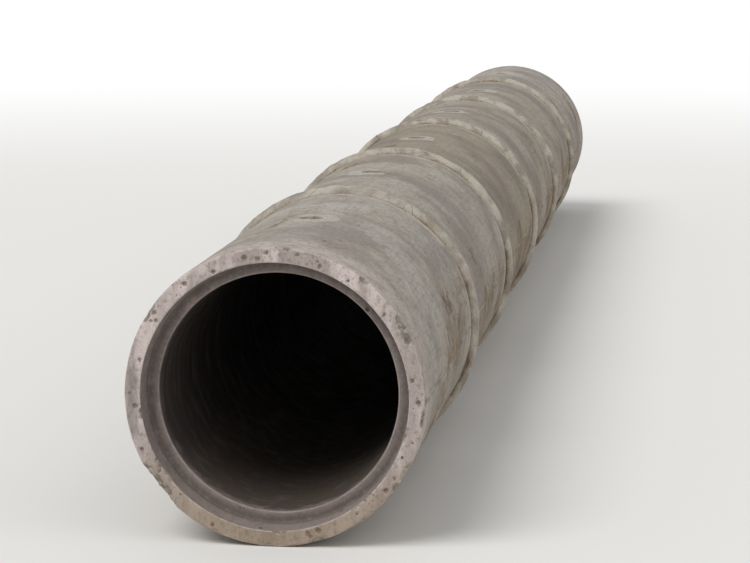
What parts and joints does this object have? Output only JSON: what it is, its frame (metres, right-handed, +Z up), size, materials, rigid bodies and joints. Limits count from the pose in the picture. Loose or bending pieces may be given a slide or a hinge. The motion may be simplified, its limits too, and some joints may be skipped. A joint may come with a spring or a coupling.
{
  "type": "concrete pipe culvert end",
  "caption": "Inlet end of a round culvert: precast concrete pipe sections with tongue and groove joints, mortared inside and beaded outside, groove end open.",
  "frame": {"origin": "middle of the barrel's length, on its centreline, at the level of the bedding it lies on", "axes": "+Y along the barrel from the open groove end (inlet) to the tongue end, +Z up, +X across; the open mouth faces -Y"},
  "size_m": [0.8138, 7.38, 0.788],
  "materials": {
    "pipe_concrete": "dry-cast concrete, sand grained, weathered",
    "joint_mortar": "hand-trowelled cement mortar",
    "plug_grout": "hand-packed cement grout"
  },
  "bodies": {
    "root": {"pipe_section_1": "pipe_concrete", "pipe_section_2": "pipe_concrete", "pipe_section_3": "pipe_concrete", "pipe_section_4": "pipe_concrete", "pipe_section_5": "pipe_concrete", "pipe_section_6": "pipe_concrete", "joint_mortar_1": "joint_mortar", "joint_mortar_2": "joint_mortar", "joint_mortar_3": "joint_mortar", "joint_mortar_4": "joint_mortar", "joint_mortar_5": "joint_mortar", "joint_bead_1": "joint_mortar", "joint_bead_2": "joint_mortar", "joint_bead_3": "joint_mortar", "joint_bead_4": "joint_mortar", "joint_bead_5": "joint_mortar", "lift_hole_plug_1": "plug_grout", "lift_hole_plug_2": "plug_grout", "lift_hole_plug_3": "plug_grout", "lift_hole_plug_4": "plug_grout", "lift_hole_plug_5": "plug_grout", "lift_hole_plug_6": "plug_grout"}
  },
  "joints": []
}
